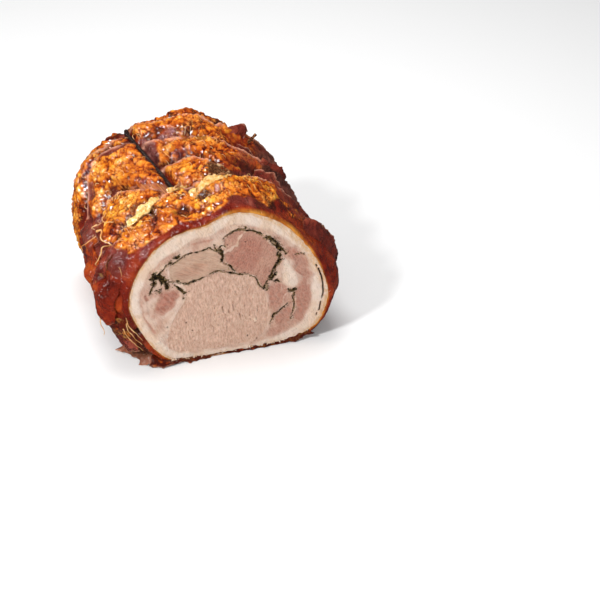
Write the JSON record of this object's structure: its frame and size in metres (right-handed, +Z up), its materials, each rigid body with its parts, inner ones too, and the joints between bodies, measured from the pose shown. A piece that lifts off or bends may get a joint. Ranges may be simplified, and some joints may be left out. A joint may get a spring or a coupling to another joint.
{
  "type": "porchetta",
  "caption": "Roasted pork roll, skin on, cut across at one end to show the rolled muscles and herb seam, tied lengthwise with twine; rests on its flat underside.",
  "frame": {"origin": "centre of the bounding box's base, on the surface that the roll lies on", "axes": "+Z up; the roll lies along Y with its cut face towards -Y; +X is to the right of a viewer who faces the cut"},
  "size_m": [0.1856, 0.16, 0.139],
  "materials": {
    "crackling_and_belly": "glossy blistered crackling outside, moist fat and lean at the cut",
    "loin_meat": "moist cooked meat, fine grain",
    "cap_meat": "moist cooked meat, long grain",
    "tenderloin_meat": "moist pink cooked meat",
    "herbs": "dark chopped herbs",
    "twine": "charred twisted cotton"
  },
  "bodies": {
    "root": {"belly_roll": "crackling_and_belly", "loin": "loin_meat", "cap_muscle": "cap_meat", "tenderloin": "tenderloin_meat", "herb_filling": "herbs", "herb_seam": "herbs", "twine": "twine"}
  },
  "joints": []
}
